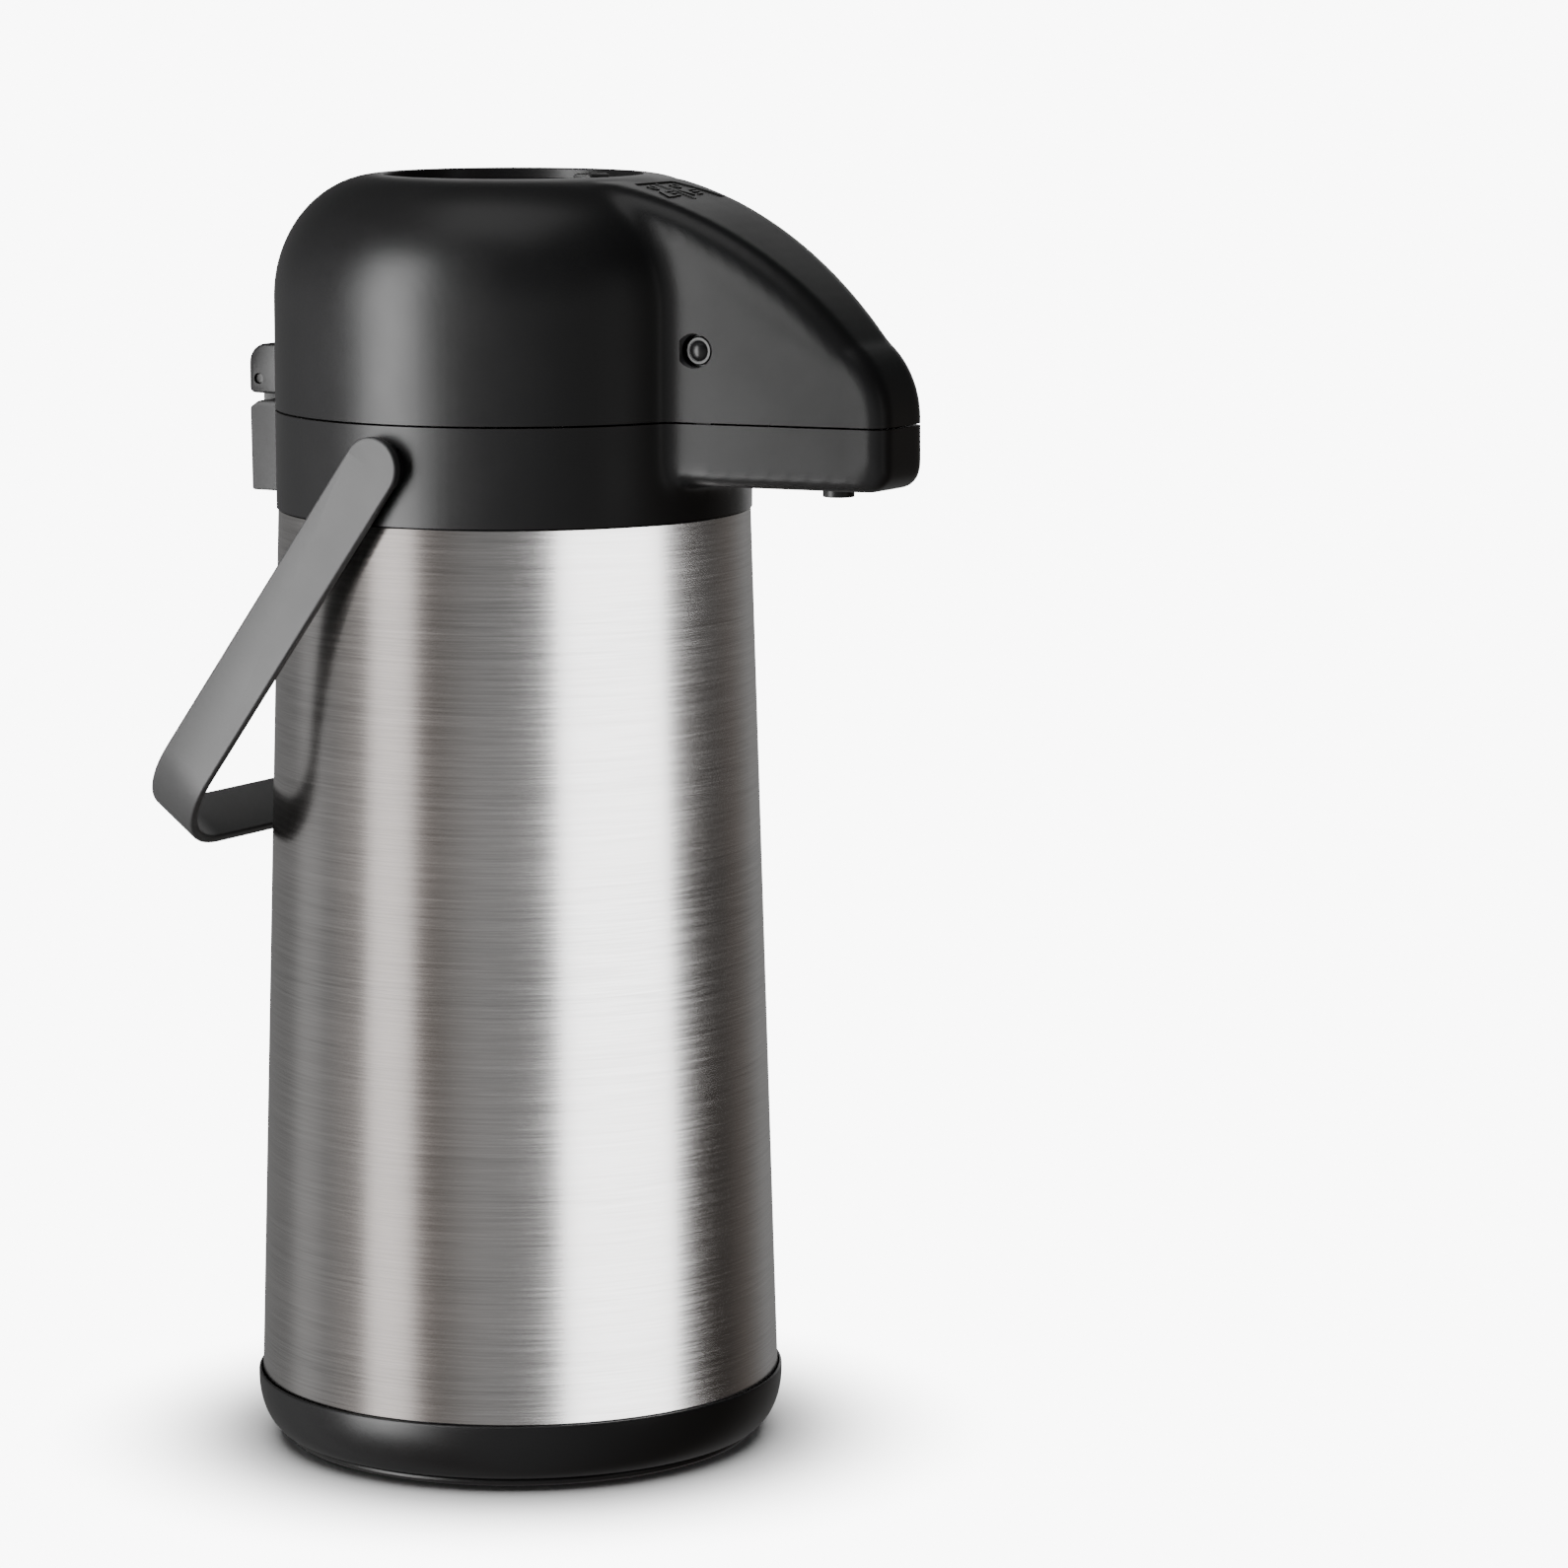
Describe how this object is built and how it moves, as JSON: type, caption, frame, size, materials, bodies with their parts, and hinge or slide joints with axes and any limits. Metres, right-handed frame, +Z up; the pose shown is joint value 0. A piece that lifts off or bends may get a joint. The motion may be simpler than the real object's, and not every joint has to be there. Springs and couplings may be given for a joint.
{
  "type": "thermal airpot",
  "caption": "Vacuum-insulated steel airpot with a hinged bellows-pump lid, a push button on top, a side spout and a swinging strap handle.",
  "frame": {"origin": "centre of the swivel foot's flat hub pad, on the pot's axis at the surface it stands on", "axes": "+Z up along the pot's axis, +X towards the spout's tip, -X towards the lid's hinge"},
  "size_m": [0.2224, 0.1586, 0.3805],
  "materials": {
    "black_plastic": "satin moulded black",
    "brushed_steel": "fine grain running round the body",
    "plain_steel": "plain mill finish",
    "black_rubber": "matt",
    "grey_silicone": "matt translucent",
    "clear_tube": "natural polypropylene"
  },
  "bodies": {
    "foot": {"swivel_foot": "black_plastic", "foot_ring": "black_rubber", "swivel_washer": "plain_steel", "swivel_screw": "plain_steel"},
    "pot": {"base_ring": "black_plastic", "outer_shell": "brushed_steel", "outer_bottom": "plain_steel", "getter_cap": "plain_steel", "inner_vessel": "plain_steel", "mouth_gasket": "grey_silicone", "mouth_ring": "black_plastic", "valve_housing": "black_plastic", "tube_seal": "grey_silicone", "dip_tube": "clear_tube", "outlet_pipe": "clear_tube", "outlet_seal": "grey_silicone", "nozzle_tip": "black_plastic", "collar": "black_plastic", "hinge_bracket": "black_plastic", "hinge_pin": "plain_steel", "hinge_screw_left": "plain_steel", "hinge_screw_right": "plain_steel"},
    "lid": {"lid_cover": "black_plastic", "lid_base": "black_plastic", "lid_gasket": "grey_silicone", "bellows": "black_rubber", "bellows_clamp": "black_plastic", "return_spring": "plain_steel", "latch_spring": "plain_steel", "lid_screw_1": "plain_steel", "lid_screw_2": "plain_steel", "lid_screw_3": "plain_steel", "lid_screw_4": "plain_steel"},
    "button": {"push_button": "black_plastic", "pump_plate": "black_plastic", "inlet_valve": "black_rubber"},
    "lock": {"lock_slider": "black_plastic"},
    "release_right": {"release_button_right": "black_plastic"},
    "release_left": {"release_button_left": "black_plastic"},
    "handle": {"handle_strap": "black_plastic"},
    "ball": {"valve_ball": "plain_steel"}
  },
  "joints": [
    {"name": "pot_swivel", "type": "hinge", "parent": "foot", "child": "pot", "pos_m": [0, 0, 0], "axis": [0, 0, 1], "continuous": true},
    {"name": "lid_hinge", "type": "hinge", "parent": "pot", "child": "lid", "pos_m": [-0.0805, 0, 0.3173], "axis": [0, -1, 0], "range_deg": [0, 95]},
    {"name": "button_press", "type": "slide", "parent": "lid", "child": "button", "axis": [0, 0, -1], "range_m": [0, 0.024], "stiffness_N_per_m": 400, "springref_m": -0.012, "deforming": ["bellows", "return_spring"]},
    {"name": "lock_slide", "type": "slide", "parent": "button", "child": "lock", "axis": [-1, 0, 0], "range_m": [-0.0045, 0]},
    {"name": "release_right_press", "type": "slide", "parent": "lid", "child": "release_right", "axis": [0, 1, 0], "range_m": [0, 0.0026], "stiffness_N_per_m": 600, "springref_m": -0.002, "deforming": ["latch_spring"]},
    {"name": "release_left_press", "type": "slide", "parent": "lid", "child": "release_left", "axis": [0, -1, 0], "range_m": [0, 0.0026], "stiffness_N_per_m": 600, "springref_m": -0.002, "deforming": ["latch_spring"]},
    {"name": "handle_swing", "type": "hinge", "parent": "pot", "child": "handle", "pos_m": [0, 0, 0.2989], "axis": [0, 1, 0], "range_deg": [0, 287]},
    {"name": "ball_lift", "type": "slide", "parent": "pot", "child": "ball", "axis": [0, 0, 1], "range_m": [0, 0.003]}
  ]
}
